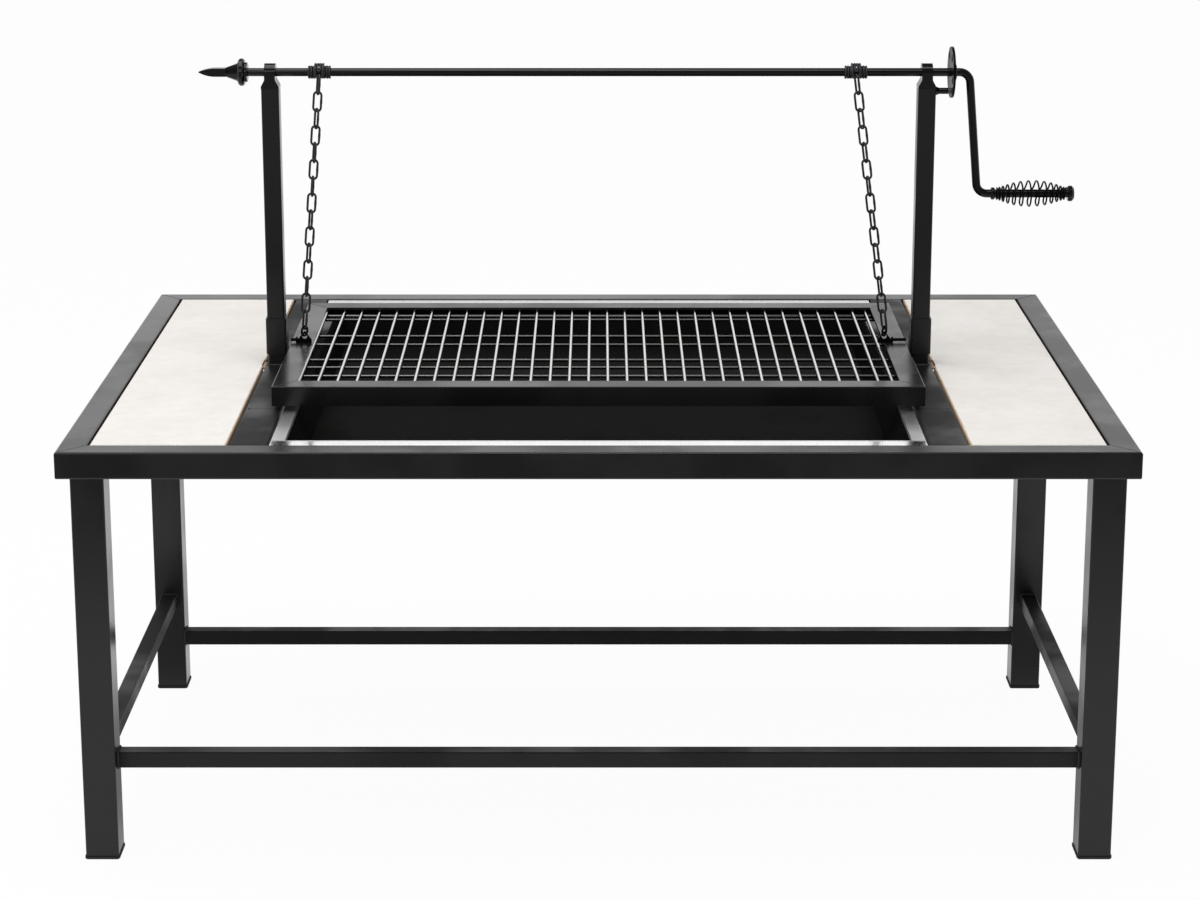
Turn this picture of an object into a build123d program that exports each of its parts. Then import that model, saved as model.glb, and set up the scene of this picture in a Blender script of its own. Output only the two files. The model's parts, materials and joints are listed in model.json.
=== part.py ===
from build123d import *
import math
import os

os.makedirs("parts", exist_ok=True)

# Lengths are in millimetres. The origin is on the floor under the table's centre, +X to the crank, +Z up.

# Table
table_width = 1550.0
table_depth = 1000.0
table_height = 670.0
rail_size = 40.0
tube_wall = 2.0
tube_corner = 3.0
leg_size = 50.0
front_leg_inset = 104.0
rear_leg_inset = 134.0
cap_thickness = 5.0
cap_proud = 1.4
cap_plug_depth = 14.0
cap_plug_slack = 0.2

# Stretchers
stretcher_size = 25.0
front_stretcher_top = 162.0
rear_stretcher_top = 106.0
side_stretcher_top = 174.0

# Cross members and side tiles
cross_inner_x = 476.0
cross_width = 55.0
cross_height = 30.0
seam_inset = 198.0
seam_width = 0.8
seam_depth = 0.6
vent_hole = 3.4
vent_inset = 6.0
tile_thickness = 10.0
tile_inner_gap = 3.5
tile_outer_gap = 4.0
tile_end_gap = 1.5
tile_bevel = 1.2
tile_notch_depth = 3.0
tile_notch_margin = 5.0
ledge_width = 20.0
ledge_thickness = 3.0

# Fire pan
pan_gap = 2.5
pan_depth = 50.0
pan_slope = 24.0
pan_sheet = 2.0
pan_sink = 1.5
rim_side_width = 15.0
rim_end_width = 21.0
rim_sheet = 1.5
rim_lip = 7.0
pan_ledge_clearance = 4.5

# Posts, sockets and bearing heads
post_offset = 9.5
post_size = 28.0
socket_clearance = 0.25
socket_wall = 2.0
socket_start = 19.0
socket_end = 76.0
post_start = 46.0
axle_above_table = 469.0
shoulder_top_drop = 11.0
shoulder_height = 10.0
head_foot = 4.0
neck_width = 17.0
shoulder_round = 5.0

# Axle, crank and lock
bar_diameter = 13.0
bearing_clearance = 0.05
seat_clearance = 0.05
finial_gap = 27.0
finial_collar_diameter = 31.0
finial_collar_width = 4.5
finial_flange_diameter = 43.0
finial_flange_width = 9.5
finial_flare_length = 22.0
finial_flange_ledge = 6.0
finial_spike_length = 42.0
finial_spike_straight = 14.0
finial_spike_width = 13.0
finial_dimple = 5.0
peg_diameter = 10.0
peg_drop = 29.5
peg_weld_leg = 2.5
peg_weld_length = 6.0
peg_length = 21.0
disc_rest_gap = 2.0
disc_edge = 4.3
disc_thickness = 4.0
peg_play = 1.2
disc_hole_count = 5
hub_wall = 6.5
hub_width = 5.0
crank_reach = 21.0
crank_lean = 17.0
crank_drop = 193.0
crank_bend_radius = 17.0
grip_start = 22.0
bead_wall = 3.25
bead_width = 6.0
end_cap_wall = 6.0
end_cap_width = 9.5
grip_length = 115.0
grip_end_gap = 1.2
grip_turns = 13
grip_wire = 2.8
grip_clearance = 0.9
grip_middle_radius = 20.0
grip_bunching = 0.34

# Chains
chain_wire = 3.6
link_width = 15.6
link_slack = 0.3
link_pitch_wanted = 27.0
lower_links_least = 3
winding_clearance = 0.35
last_link_turn_deg = 60.0
winding_start_deg = -100.0
winding_stagger_deg = 12.0
winding_inner_deg = 205.0
winding_outer_deg = 105.0
left_winding_inset = 77.0
right_winding_inset = 111.0
left_lug_inset = 22.0
right_lug_inset = 35.0

# Grill
grill_side_gap = 6.75
grill_depth = 550.0
grill_rest_gap = 7.0
angle_height = 30.0
angle_flange = 35.0
angle_sheet = 4.0
grate_bar = 5.0
grate_left_margin = 35.5
grate_right_margin = 44.0
grate_pitch = 29.3
cross_rod = 4.5
cross_rods_from_back = (78.0, 192.0, 248.0)
cross_rods_from_front = (203.0, 156.0, 104.0)
end_rod_inset = 48.0
end_rod = 8.0
lug_width = 22.0
lug_tip = 4.0
lug_sheet = 3.0
lug_hole = 8.0
lug_hole_height = 10.0
shackle_radius = 7.5
brace_rod = 5.0
brace_ring = 9.0
brace_ring_width = 3.0

# Values that follow from the sizes above
half_width = table_width / 2
half_depth = table_depth / 2
inner_half_width = half_width - rail_size
inner_half_depth = half_depth - rail_size
front_leg_y = -(half_depth - front_leg_inset - leg_size / 2)
rear_leg_y = half_depth - rear_leg_inset - leg_size / 2
leg_x = half_width - leg_size / 2
leg_top = table_height - rail_size
cross_outer_x = cross_inner_x + cross_width
cross_x = cross_inner_x + cross_width / 2
seam_y = -(inner_half_depth - seam_inset)
pan_ledge_width = pan_gap + rim_end_width - pan_sheet - pan_ledge_clearance
post_x = cross_x + post_offset
socket_size = post_size + 2 * socket_clearance + 2 * socket_wall
shoulder_base_drop = shoulder_top_drop + shoulder_height
head_base_drop = shoulder_base_drop + head_foot
bar_radius = bar_diameter / 2
finial_flare_diameter = finial_flange_diameter - 2 * finial_flange_ledge
peg_weld_diameter = peg_diameter + 2 * peg_weld_leg
disc_hole = peg_diameter + 2 * peg_play
disc_diameter = 2 * peg_drop + disc_hole + 2 * disc_edge
hub_diameter = bar_diameter + 2 * hub_wall
bead_diameter = bar_diameter + 2 * bead_wall
end_cap_diameter = bar_diameter + 2 * end_cap_wall
grip_end_radius = bar_radius + grip_clearance + grip_wire / 2
winding_inner_radius = bar_radius + winding_clearance + chain_wire / 2
winding_outer_radius = winding_inner_radius + chain_wire + winding_clearance
axle_y = winding_outer_radius
axle_z = table_height + axle_above_table
grill_bottom = table_height + grill_rest_gap
grill_top = grill_bottom + angle_height
grill_width = 2 * (post_x - socket_size / 2 - grill_side_gap)
bar_z = grill_top - angle_sheet - seat_clearance - grate_bar / 2
grate_first_x = -grill_width / 2 + grate_left_margin
grate_last_x = grill_width / 2 - grate_right_margin
left_winding_x = -post_x + left_winding_inset
right_winding_x = post_x - right_winding_inset
left_lug_x = -grill_width / 2 + left_lug_inset
right_lug_x = grill_width / 2 - right_lug_inset
lug_height = lug_hole_height + lug_hole / 2 + lug_tip
link_bend = (link_width - chain_wire) / 2
shackle_skew = math.radians(2 * last_link_turn_deg - 90)
shackle_shift = lug_sheet / 2 * math.tan(shackle_skew)
shackle_play = lug_hole / 2 - link_slack - chain_wire / 2 / math.cos(shackle_skew)
shackle_lift = math.sqrt(shackle_play**2 - shackle_shift**2)
shackle_sag = shackle_radius - math.sqrt(shackle_radius**2 - (lug_sheet / 2 / math.cos(shackle_skew)) ** 2)
shackle_low_z = grill_top + lug_hole_height + shackle_lift - shackle_sag
chain_low_z = shackle_low_z + 2 * shackle_radius - chain_wire / 2 - link_slack / 2
chain_top_z = axle_z - link_bend + chain_wire / 2 + link_slack / 2
chain_free = chain_top_z - chain_low_z - lower_links_least * link_pitch_wanted
lift_turns = math.floor(chain_free / (2 * math.pi * winding_outer_radius))
lift_travel = lift_turns * 2 * math.pi * winding_outer_radius


def save(name, *solids):
    """Write one node of the assembly as a STEP file."""
    export_step(Compound(label=name, children=list(solids)), f"parts/{name}.step")


def tube_along_x(length, depth, height, wall, corner):
    """Hollow rectangular tube along X, centred on the origin, with rounded long edges."""
    outer = RectangleRounded(depth, height, corner)
    inner = Rectangle(depth - 2 * wall, height - 2 * wall)
    profile = Plane.YZ * (outer - inner)
    return extrude(profile, amount=length / 2, both=True)


def mitre_block(length, width, height):
    """Trapezium block with 45 degree ends: outer edge at Y = -width / 2, inner edge at Y = +width / 2."""
    outline = Polyline(
        (-length / 2, -width / 2),
        (length / 2, -width / 2),
        (length / 2 - width, width / 2),
        (-length / 2 + width, width / 2),
        close=True,
    )
    return extrude(make_face(outline), amount=height / 2, both=True)


def top_rail(length):
    """One mitred rail of the table, its outer face towards -Y."""
    tube = tube_along_x(length, rail_size, rail_size, tube_wall, tube_corner)
    return tube & mitre_block(length, rail_size, rail_size)


def four_sided(make_rail, width, depth, rail_width, z):
    """Front, back, left and right rails of a mitred rectangular frame."""
    front = Pos(0, -depth / 2 + rail_width / 2, z) * make_rail(width)
    back = Pos(0, depth / 2 - rail_width / 2, z) * Rot(0, 0, 180) * make_rail(width)
    left = Pos(-width / 2 + rail_width / 2, 0, z) * Rot(0, 0, -90) * make_rail(depth)
    right = Pos(width / 2 - rail_width / 2, 0, z) * Rot(0, 0, 90) * make_rail(depth)
    return {"front": front, "back": back, "left": left, "right": right}


def leg(x, y):
    """Square tube from the foot cap to the underside of the side rail, closed at the top."""
    height = leg_top - cap_thickness
    outer = extrude(RectangleRounded(leg_size, leg_size, tube_corner), amount=height)
    bore = leg_size - 2 * tube_wall
    hollow = extrude(Rectangle(bore, bore), amount=height - tube_wall)
    return Pos(x, y, cap_thickness) * (outer - hollow)


def foot_cap(x, y):
    """Plastic cap under a leg with a plug that sits inside the tube."""
    plate_size = leg_size + 2 * cap_proud
    plate = extrude(RectangleRounded(plate_size, plate_size, tube_corner + cap_proud), amount=cap_thickness)
    plate = chamfer(plate.edges().group_by(Axis.Z)[0], cap_proud)
    plug_size = leg_size - 2 * tube_wall - 2 * cap_plug_slack
    plug = extrude(Rectangle(plug_size, plug_size), amount=cap_thickness + cap_plug_depth)
    return Pos(x, y, 0) * (plate + plug)


def cross_member(side):
    """Tube between the front and back rails, with a fine seam and a vent hole in its top face."""
    tube = tube_along_x(2 * inner_half_depth, cross_width, cross_height, tube_wall, tube_corner)
    tube = Pos(side * cross_x, 0, table_height - cross_height / 2) * Rot(0, 0, 90) * tube
    seam = Pos(side * cross_x, seam_y, table_height) * Box(cross_width, seam_width, 2 * seam_depth)
    vent_x = side * (cross_outer_x - vent_inset)
    vent = Pos(vent_x, seam_y - vent_hole, table_height) * Cylinder(vent_hole / 2, 3 * tube_wall)
    return tube - seam - vent


def side_tile(side):
    """Loose tile in a side bay, notched beside the post."""
    inner = cross_outer_x + tile_inner_gap
    outer = inner_half_width - tile_outer_gap
    length = 2 * (inner_half_depth - tile_end_gap)
    tile = Pos(side * (inner + outer) / 2, 0, table_height - tile_thickness / 2) * Box(
        outer - inner, length, tile_thickness
    )
    tile = chamfer(tile.edges().group_by(Axis.Z)[-1], tile_bevel)
    notch_width = post_size + 2 * tile_notch_margin
    notch = Box(2 * tile_notch_depth, notch_width, 3 * tile_thickness)
    return tile - Pos(side * inner, axle_y, table_height) * notch


def tile_ledge(side):
    """Three flat bars under one tile: front, back and beside the outer rail."""
    z = table_height - tile_thickness - ledge_thickness / 2
    bay = inner_half_width - cross_outer_x
    x = side * (inner_half_width + cross_outer_x) / 2
    y = inner_half_depth - ledge_width / 2
    front = Pos(x, -y, z) * Box(bay, ledge_width, ledge_thickness)
    back = Pos(x, y, z) * Box(bay, ledge_width, ledge_thickness)
    length = 2 * (inner_half_depth - ledge_width)
    outer = Pos(side * (inner_half_width - ledge_width / 2), 0, z) * Box(ledge_width, length, ledge_thickness)
    return [front, back, outer]


def fire_pan():
    """Open pan with sloping walls and a flange that rests on the pan ledges."""
    flange_x = cross_inner_x - pan_gap
    flange_y = inner_half_depth - pan_gap
    mouth_x = flange_x - rim_side_width
    mouth_y = flange_y - rim_end_width
    flange_top = table_height - pan_sink - rim_sheet
    floor = flange_top - pan_depth

    def wedge(grow, bottom):
        top_face = Pos(0, 0, flange_top) * Rectangle(2 * (mouth_x + grow), 2 * (mouth_y + grow))
        low_x = mouth_x - pan_slope + grow
        low_y = mouth_y - pan_slope + grow
        low_face = Pos(0, 0, bottom) * Rectangle(2 * low_x, 2 * low_y)
        return loft([low_face, top_face])

    flange = Pos(0, 0, flange_top - pan_sheet / 2) * Box(2 * flange_x, 2 * flange_y, pan_sheet)
    return flange + wedge(pan_sheet, floor - pan_sheet) - wedge(0, floor)


def pan_rim():
    """Polished frame on the pan's flange, with a lip turned down over the mouth."""
    flange_x = cross_inner_x - pan_gap
    flange_y = inner_half_depth - pan_gap
    lip_x = flange_x - rim_side_width - rim_lip / pan_depth * pan_slope - seat_clearance
    lip_y = flange_y - rim_end_width - rim_lip / pan_depth * pan_slope - seat_clearance
    top = table_height - pan_sink
    plate = Pos(0, 0, top - rim_sheet / 2) * Box(2 * flange_x, 2 * flange_y, rim_sheet)
    lip = Pos(0, 0, top - rim_lip / 2) * Box(2 * lip_x, 2 * lip_y, rim_lip)
    mouth = Pos(0, 0, top) * Box(2 * (lip_x - rim_sheet), 2 * (lip_y - rim_sheet), 3 * rim_lip)
    return plate + lip - mouth


def pan_ledge(side):
    """Flat bar on the inner face of the front or back rail that carries the pan's flange."""
    z = table_height - pan_sink - rim_sheet - pan_sheet - ledge_thickness / 2
    y = side * (inner_half_depth - pan_ledge_width / 2)
    return Pos(0, y, z) * Box(2 * cross_inner_x, pan_ledge_width, ledge_thickness)


def square_tube_up(size, wall, z_start, z_end, x):
    """Upright square tube on a post's axis."""
    profile = RectangleRounded(size, size, tube_corner) - Rectangle(size - 2 * wall, size - 2 * wall)
    return Pos(x, axle_y, z_start) * extrude(profile, amount=z_end - z_start)


def bearing_head(side):
    """Forged head of a post: sloped shoulders, a narrow neck and a round top about the axle."""
    base = axle_z - head_base_drop
    top = axle_z + post_size
    half = post_size / 2
    neck = neck_width / 2
    outline = Polyline(
        (-half, base),
        (half, base),
        (half, axle_z - shoulder_base_drop),
        (neck, axle_z - shoulder_top_drop),
        (neck, top),
        (-neck, top),
        (-neck, axle_z - shoulder_top_drop),
        (-half, axle_z - shoulder_base_drop),
        close=True,
    )
    front_view = extrude(Plane.XZ * make_face(outline), amount=half, both=True)
    waist_z = axle_z - shoulder_top_drop
    near = shoulder_height / 4
    waist = front_view.edges().filter_by(Axis.Y).filter_by_position(Axis.Z, waist_z - near, waist_z + near)
    front_view = fillet(waist, min(shoulder_round, shoulder_height / 2))
    round_top = Pos(0, 0, axle_z) * Rot(0, 90, 0) * Cylinder(half, post_size)
    block = Pos(0, 0, axle_z - head_base_drop / 2) * Box(post_size, post_size, head_base_drop)
    bore = Pos(0, 0, axle_z) * Rot(0, 90, 0) * Cylinder(bar_radius + bearing_clearance, 2 * post_size)
    return Pos(side * post_x, axle_y, 0) * ((front_view & (round_top + block)) - bore)


def turned(profile_points, z):
    """Solid of revolution about the X axis line at (axle_y, z); points are (x, radius)."""
    outline = Polyline(*[(x, radius) for x, radius in profile_points], close=True)
    body = revolve(Plane.XZ * make_face(outline), axis=Axis.X)
    return Pos(0, axle_y, z) * body


def lock_peg():
    """Round peg welded to the outer face of the right post."""
    face = post_x + post_size / 2
    radius = peg_diameter / 2
    tip = face + peg_length
    bevel = radius / 5
    points = [
        (face, 0),
        (face, peg_weld_diameter / 2),
        (face + peg_weld_length, radius),
        (tip - bevel, radius),
        (tip, radius - bevel),
        (tip, 0),
    ]
    return turned(points, axle_z - peg_drop)


finial_face_x = -(post_x + neck_width / 2 + finial_gap)
flange_face_x = finial_face_x - finial_collar_width
disc_left_x = post_x + post_size / 2 + peg_length + disc_rest_gap
disc_right_x = disc_left_x + disc_thickness
crank_x = disc_right_x + hub_width + crank_reach
handle_x = crank_x + crank_lean
handle_z = axle_z - crank_drop
bead_left_x = handle_x + grip_start
bead_right_x = bead_left_x + bead_width
cap_left_x = bead_right_x + grip_length
cap_right_x = cap_left_x + end_cap_width
handle_end_x = cap_left_x + end_cap_width / 2


def crank_shaft():
    """Axle, crank arm and handle bent from one round bar."""
    start_x = flange_face_x - finial_flange_width
    path = FilletPolyline(
        (start_x, axle_y, axle_z),
        (crank_x, axle_y, axle_z),
        (handle_x, axle_y, handle_z),
        (handle_end_x, axle_y, handle_z),
        radius=crank_bend_radius,
    )
    section = Plane(origin=path @ 0, z_dir=path % 0) * Circle(bar_radius)
    return sweep(section, path=path)


def spear_finial():
    """Flange, flare and four-sided spear point in one forging, bored for the axle's end."""
    spike_half = finial_spike_width / 2
    flange_left = flange_face_x - finial_flange_width
    flare_left = flange_left - finial_flare_length
    flange_radius = finial_flange_diameter / 2
    edge = finial_flange_width / 4
    points = [
        (flange_face_x, 0),
        (flange_face_x, flange_radius - edge),
        (flange_face_x - edge, flange_radius),
        (flange_left + edge, flange_radius),
        (flange_left, flange_radius - edge),
        (flange_left, finial_flare_diameter / 2),
        (flange_left - finial_flare_length / 5, finial_flare_diameter / 2 - edge),
        (flare_left, spike_half),
        (flare_left, 0),
    ]
    head = turned(points, axle_z)
    tip_x = flare_left - finial_spike_length
    root_x = flare_left + edge
    belly_x = flare_left - finial_spike_straight
    leaf = make_face(
        [
            Line((root_x, -spike_half), (root_x, spike_half)),
            Line((root_x, spike_half), (belly_x, spike_half)),
            TangentArc((belly_x, spike_half), (tip_x, 0), tangent=(-1, 0)),
            TangentArc((belly_x, -spike_half), (tip_x, 0), tangent=(-1, 0)),
            Line((belly_x, -spike_half), (root_x, -spike_half)),
        ]
    )
    side_view = extrude(Plane.XZ * leaf, amount=spike_half, both=True)
    plan_view = extrude(leaf, amount=spike_half, both=True)
    spike = Pos(0, axle_y, axle_z) * (side_view & plan_view)
    bore_length = finial_flange_width + 2 * seat_clearance
    bore = Pos(flange_face_x - bore_length / 2, axle_y, axle_z) * Rot(0, 90, 0) * Cylinder(
        bar_radius + seat_clearance, bore_length
    )
    dimple_x = flare_left + finial_flare_length / 4
    dimple_y = axle_y - spike_half - finial_dimple / 3
    dimple = Pos(dimple_x, dimple_y, axle_z) * Sphere(finial_dimple / 2)
    return head + spike - bore - dimple


def ring_on_bar(x_start, x_end, diameter, z):
    """Collar on the round bar with softened rims."""
    radius = diameter / 2
    edge = (x_end - x_start) / 5
    bore = bar_radius + seat_clearance
    points = [
        (x_start, bore),
        (x_start, radius - edge),
        (x_start + edge, radius),
        (x_end - edge, radius),
        (x_end, radius - edge),
        (x_end, bore),
    ]
    return turned(points, z)


def end_cap():
    """Round-ended cap on the handle's free end."""
    radius = end_cap_diameter / 2
    edge = end_cap_width / 3
    bore = bar_radius + seat_clearance
    points = [
        (cap_left_x, bore),
        (cap_left_x, radius - edge / 2),
        (cap_left_x + edge / 2, radius),
        (cap_right_x - edge, radius),
        (cap_right_x, radius - edge),
        (cap_right_x, 0),
        (handle_end_x + seat_clearance, 0),
        (handle_end_x + seat_clearance, bore),
    ]
    return turned(points, handle_z)


def index_disc():
    """Disc with a circle of holes for the lock peg, one of them straight below the axle."""
    disc = Cylinder(disc_diameter / 2, disc_thickness)
    disc = disc - Cylinder(bar_radius + seat_clearance, 2 * disc_thickness)
    for i in range(disc_hole_count):
        disc = disc - Rot(0, 0, 360 * i / disc_hole_count) * Pos(peg_drop, 0, 0) * Cylinder(
            disc_hole / 2, 2 * disc_thickness
        )
    return Pos((disc_left_x + disc_right_x) / 2, axle_y, axle_z) * Rot(0, 90, 0) * disc


def biarc(start, start_dir, end, end_dir):
    """Two arcs that join start to end with the given directions, tangent to each other."""
    gap = end - start
    both = start_dir + end_dir
    a = both.dot(both) - 4
    b = -2 * gap.dot(both)
    c = gap.dot(gap)
    reach = (-b - math.sqrt(b * b - 4 * a * c)) / (2 * a)
    first_corner = start + start_dir * reach
    second_corner = end - end_dir * reach
    joint = (first_corner + second_corner) * 0.5
    return [
        Edge.make_tangent_arc(start, start_dir, joint),
        Edge.make_tangent_arc(joint, second_corner - first_corner, end),
    ]


def grip_point(turn):
    """Point of the grip's wire after a number of turns: a barrel-shaped coil with wide middle spacing."""
    share = turn / grip_turns
    coil_length = grip_length - 2 * grip_end_gap - grip_wire
    along = share - grip_bunching * math.sin(2 * math.pi * share) / (2 * math.pi)
    radius = grip_end_radius + (grip_middle_radius - grip_end_radius) * math.sin(math.pi * share) ** 2
    angle = 2 * math.pi * turn
    x = bead_right_x + grip_end_gap + grip_wire / 2 + coil_length * along
    return Vector(x, axle_y + radius * math.sin(angle), handle_z + radius * math.cos(angle))


def grip_direction(turn):
    """Unit direction of the grip's wire at a number of turns."""
    step = 0.0005
    return (grip_point(turn + step) - grip_point(turn - step)).normalized()


def spring_grip():
    """Barrel-shaped spring that spins on the handle, one unbroken wire."""
    edges = []
    quarters = 4 * grip_turns
    for i in range(quarters):
        edges += biarc(
            grip_point(i / 4), grip_direction(i / 4), grip_point((i + 1) / 4), grip_direction((i + 1) / 4)
        )
    path = Wire(edges)
    section = Plane(origin=path @ 0, z_dir=path % 0) * Circle(grip_wire / 2)
    spring = sweep(section, path=path)
    samples = 24
    points = [grip_point(k / samples) for k in range(samples * grip_turns + 1)]
    least = min(
        (points[i] - points[j]).length
        for i in range(len(points))
        for j in range(i + samples // 2, len(points))
    )
    print(f"grip spring: least gap to itself {least - grip_wire:.2f} mm")
    return spring


def link(centre, direction, turn_deg, inner_length):
    """One chain link along a direction in the XZ plane; it faces the front at a turn of 0 degrees."""
    radius = link_bend
    straight = inner_length + chain_wire - 2 * radius
    path = Wire(
        [
            Edge.make_line((-straight / 2, -radius, 0), (straight / 2, -radius, 0)),
            Edge.make_three_point_arc(
                (straight / 2, -radius, 0), (straight / 2 + radius, 0, 0), (straight / 2, radius, 0)
            ),
            Edge.make_line((straight / 2, radius, 0), (-straight / 2, radius, 0)),
            Edge.make_three_point_arc(
                (-straight / 2, radius, 0), (-straight / 2 - radius, 0, 0), (-straight / 2, -radius, 0)
            ),
        ]
    )
    section = Plane(origin=(0, -radius, 0), z_dir=(1, 0, 0)) * Circle(chain_wire / 2)
    body = sweep(section, path=path)
    front = Vector(0, 1, 0)
    turn = math.radians(turn_deg)
    normal = front * math.cos(turn) + direction.cross(front) * math.sin(turn)
    return Plane(origin=centre, x_dir=direction, z_dir=normal) * body


def hanging_chain(winding_x, lug_x):
    """Links from the outer wound link down to the shackle, split at the lift's travel.

    Every second link faces the front, and the last one is turned part of the way towards the shackle.
    """
    top = Vector(winding_x, 0, chain_top_z)
    bottom = Vector(lug_x, 0, chain_low_z)
    span = bottom - top
    pairs = round((span.length / link_pitch_wanted - 1) / 2)
    count = 2 * pairs + 1
    pitch = span.length / count
    direction = span.normalized()
    upper_count = math.ceil(lift_travel / pitch)
    turns = [90, 0] * pairs + [last_link_turn_deg]
    centres = [top + direction * (pitch * (i + 0.5)) for i in range(count)]
    links = [link(centre, direction, turn, pitch + link_slack) for centre, turn in zip(centres, turns)]
    return links[:upper_count], links[upper_count:]


def bent_link(x, radius, start_deg, sweep_deg):
    """Chain link wrapped round the axle: two arcs about the axle joined by two half rounds."""
    half = link_bend

    def at(offset, degrees):
        angle = math.radians(degrees)
        return Vector(x + offset, axle_y - radius * math.cos(angle), axle_z + radius * math.sin(angle))

    def along(degrees):
        angle = math.radians(degrees)
        return Vector(0, math.sin(angle), math.cos(angle))

    end_deg = start_deg + sweep_deg
    middle_deg = start_deg + sweep_deg / 2
    end_point = at(0, end_deg) + along(end_deg) * half
    start_point = at(0, start_deg) - along(start_deg) * half
    path = Wire(
        [
            Edge.make_three_point_arc(at(-half, start_deg), at(-half, middle_deg), at(-half, end_deg)),
            Edge.make_three_point_arc(at(-half, end_deg), end_point, at(half, end_deg)),
            Edge.make_three_point_arc(at(half, end_deg), at(half, middle_deg), at(half, start_deg)),
            Edge.make_three_point_arc(at(half, start_deg), start_point, at(-half, start_deg)),
        ]
    )
    section = Plane(origin=at(-half, start_deg), z_dir=along(start_deg)) * Circle(chain_wire / 2)
    return sweep(section, path=path)


def chain_winding(x):
    """Chain lump on the axle: two links side by side, and over them the one from which the chain hangs.

    The outer link starts level with the axle, at its front, so its lower end stands in the chain's plane.
    """
    offset = (link_width + chain_wire) / 2 + winding_clearance
    return [
        bent_link(x - offset, winding_inner_radius, winding_start_deg, winding_inner_deg),
        bent_link(x + offset, winding_inner_radius, winding_start_deg + winding_stagger_deg, winding_inner_deg),
        bent_link(x, winding_outer_radius, 0, winding_outer_deg),
    ]


def angle_rail(length):
    """One mitred angle-iron rail of the grill, its upright face towards -Y."""
    flange = Pos(0, 0, angle_height / 2 - angle_sheet / 2) * Box(length, angle_flange, angle_sheet)
    upright = Pos(0, -angle_flange / 2 + angle_sheet / 2, 0) * Box(length, angle_sheet, angle_height)
    rail = flange + upright
    outer_edge = rail.edges().filter_by(Axis.X).sort_by(Axis.Z)[-2:].sort_by(Axis.Y)[0]
    rail = fillet(outer_edge, angle_sheet / 3)
    return rail & mitre_block(length, angle_flange, angle_height)


def grate_bar_at(x):
    """Round bar that runs front to back between the upright faces of the grill's frame."""
    return Pos(x, 0, bar_z) * Rot(90, 0, 0) * Cylinder(grate_bar / 2, grill_depth - 2 * angle_sheet)


def rod_at(y, diameter):
    """Rod under the grate bars, across the grill."""
    z = bar_z - grate_bar / 2 - diameter / 2
    return Pos(0, y, z) * Rot(0, 90, 0) * Cylinder(diameter / 2, grill_width - 2 * angle_sheet)


def chain_lug(x):
    """Pointed plate on the grill's side rail with a hole for the shackle."""
    half = lug_width / 2
    outline = Polyline(
        (-half, 0),
        (half, 0),
        (half, lug_hole_height / 2),
        (lug_sheet / 3, lug_height),
        (-lug_sheet / 3, lug_height),
        (-half, lug_hole_height / 2),
        close=True,
    )
    plate = extrude(Plane.XZ * make_face(outline), amount=lug_sheet / 2, both=True)
    hole = Pos(0, 0, lug_hole_height) * Rot(90, 0, 0) * Cylinder(lug_hole / 2, 2 * lug_sheet)
    return Pos(x, 0, grill_top) * (plate - hole)


def shackle(x):
    """Ring through the lug and the chain's last link, turned on from that link by its own turn."""
    z = shackle_low_z + shackle_radius
    ring = Rot(0, 90, 0) * Torus(shackle_radius, chain_wire / 2)
    return Pos(x, 0, z) * Rot(0, 0, -math.degrees(shackle_skew)) * ring


def lug_brace(lug_x):
    """Short rod on the rail's flange from the lug outwards, with a ring at its inner end."""
    side = math.copysign(1, lug_x)
    inner = abs(lug_x) + lug_width / 2
    outer = grill_width / 2
    z = grill_top + brace_ring / 2
    rod = Pos(side * (inner + outer) / 2, 0, z) * Rot(0, 90, 0) * Cylinder(brace_rod / 2, outer - inner)
    ring = Pos(side * (inner + brace_ring_width / 2), 0, z) * Rot(0, 90, 0) * Cylinder(
        brace_ring / 2, brace_ring_width
    )
    return rod + ring


rails = four_sided(top_rail, table_width, table_depth, rail_size, table_height - rail_size / 2)
for side_name, rail in rails.items():
    save(f"{side_name}_top_rail", rail)

legs = {
    "front_left": (-leg_x, front_leg_y),
    "front_right": (leg_x, front_leg_y),
    "rear_left": (-leg_x, rear_leg_y),
    "rear_right": (leg_x, rear_leg_y),
}
for leg_name, place in legs.items():
    save(f"{leg_name}_leg", leg(*place))
save("foot_caps", *[foot_cap(*place) for place in legs.values()])

stretcher_length = table_width - 2 * leg_size
stretcher_inset = (leg_size - stretcher_size) / 2
long_stretcher = tube_along_x(stretcher_length, stretcher_size, stretcher_size, tube_wall, tube_wall)
front_stretcher_z = front_stretcher_top - stretcher_size / 2
rear_stretcher_z = rear_stretcher_top - stretcher_size / 2
save("front_stretcher", Pos(0, front_leg_y + stretcher_inset, front_stretcher_z) * long_stretcher)
save("rear_stretcher", Pos(0, rear_leg_y - stretcher_inset, rear_stretcher_z) * long_stretcher)
side_length = rear_leg_y - front_leg_y - leg_size
side_stretcher = tube_along_x(side_length, stretcher_size, stretcher_size, tube_wall, tube_wall)
side_y = (front_leg_y + rear_leg_y) / 2
side_z = side_stretcher_top - stretcher_size / 2
tile_bars = []
for side_name, side in (("left", -1), ("right", 1)):
    x = side * post_x
    save(f"{side_name}_stretcher", Pos(side * leg_x, side_y, side_z) * Rot(0, 0, 90) * side_stretcher)
    save(f"{side_name}_cross_member", cross_member(side))
    save(f"{side_name}_side_tile", side_tile(side))
    tile_bars += tile_ledge(side)
    head_base = axle_z - head_base_drop
    joint_z = table_height + post_start
    save(f"{side_name}_post_stub", square_tube_up(post_size, tube_wall, table_height, joint_z, x))
    save(
        f"{side_name}_post_socket",
        square_tube_up(socket_size, socket_wall, table_height + socket_start, table_height + socket_end, x),
    )
    save(f"{side_name}_post", square_tube_up(post_size, tube_wall, joint_z, head_base, x))
    save(f"{side_name}_bearing_head", bearing_head(side))
save("tile_ledges", *tile_bars)

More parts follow.
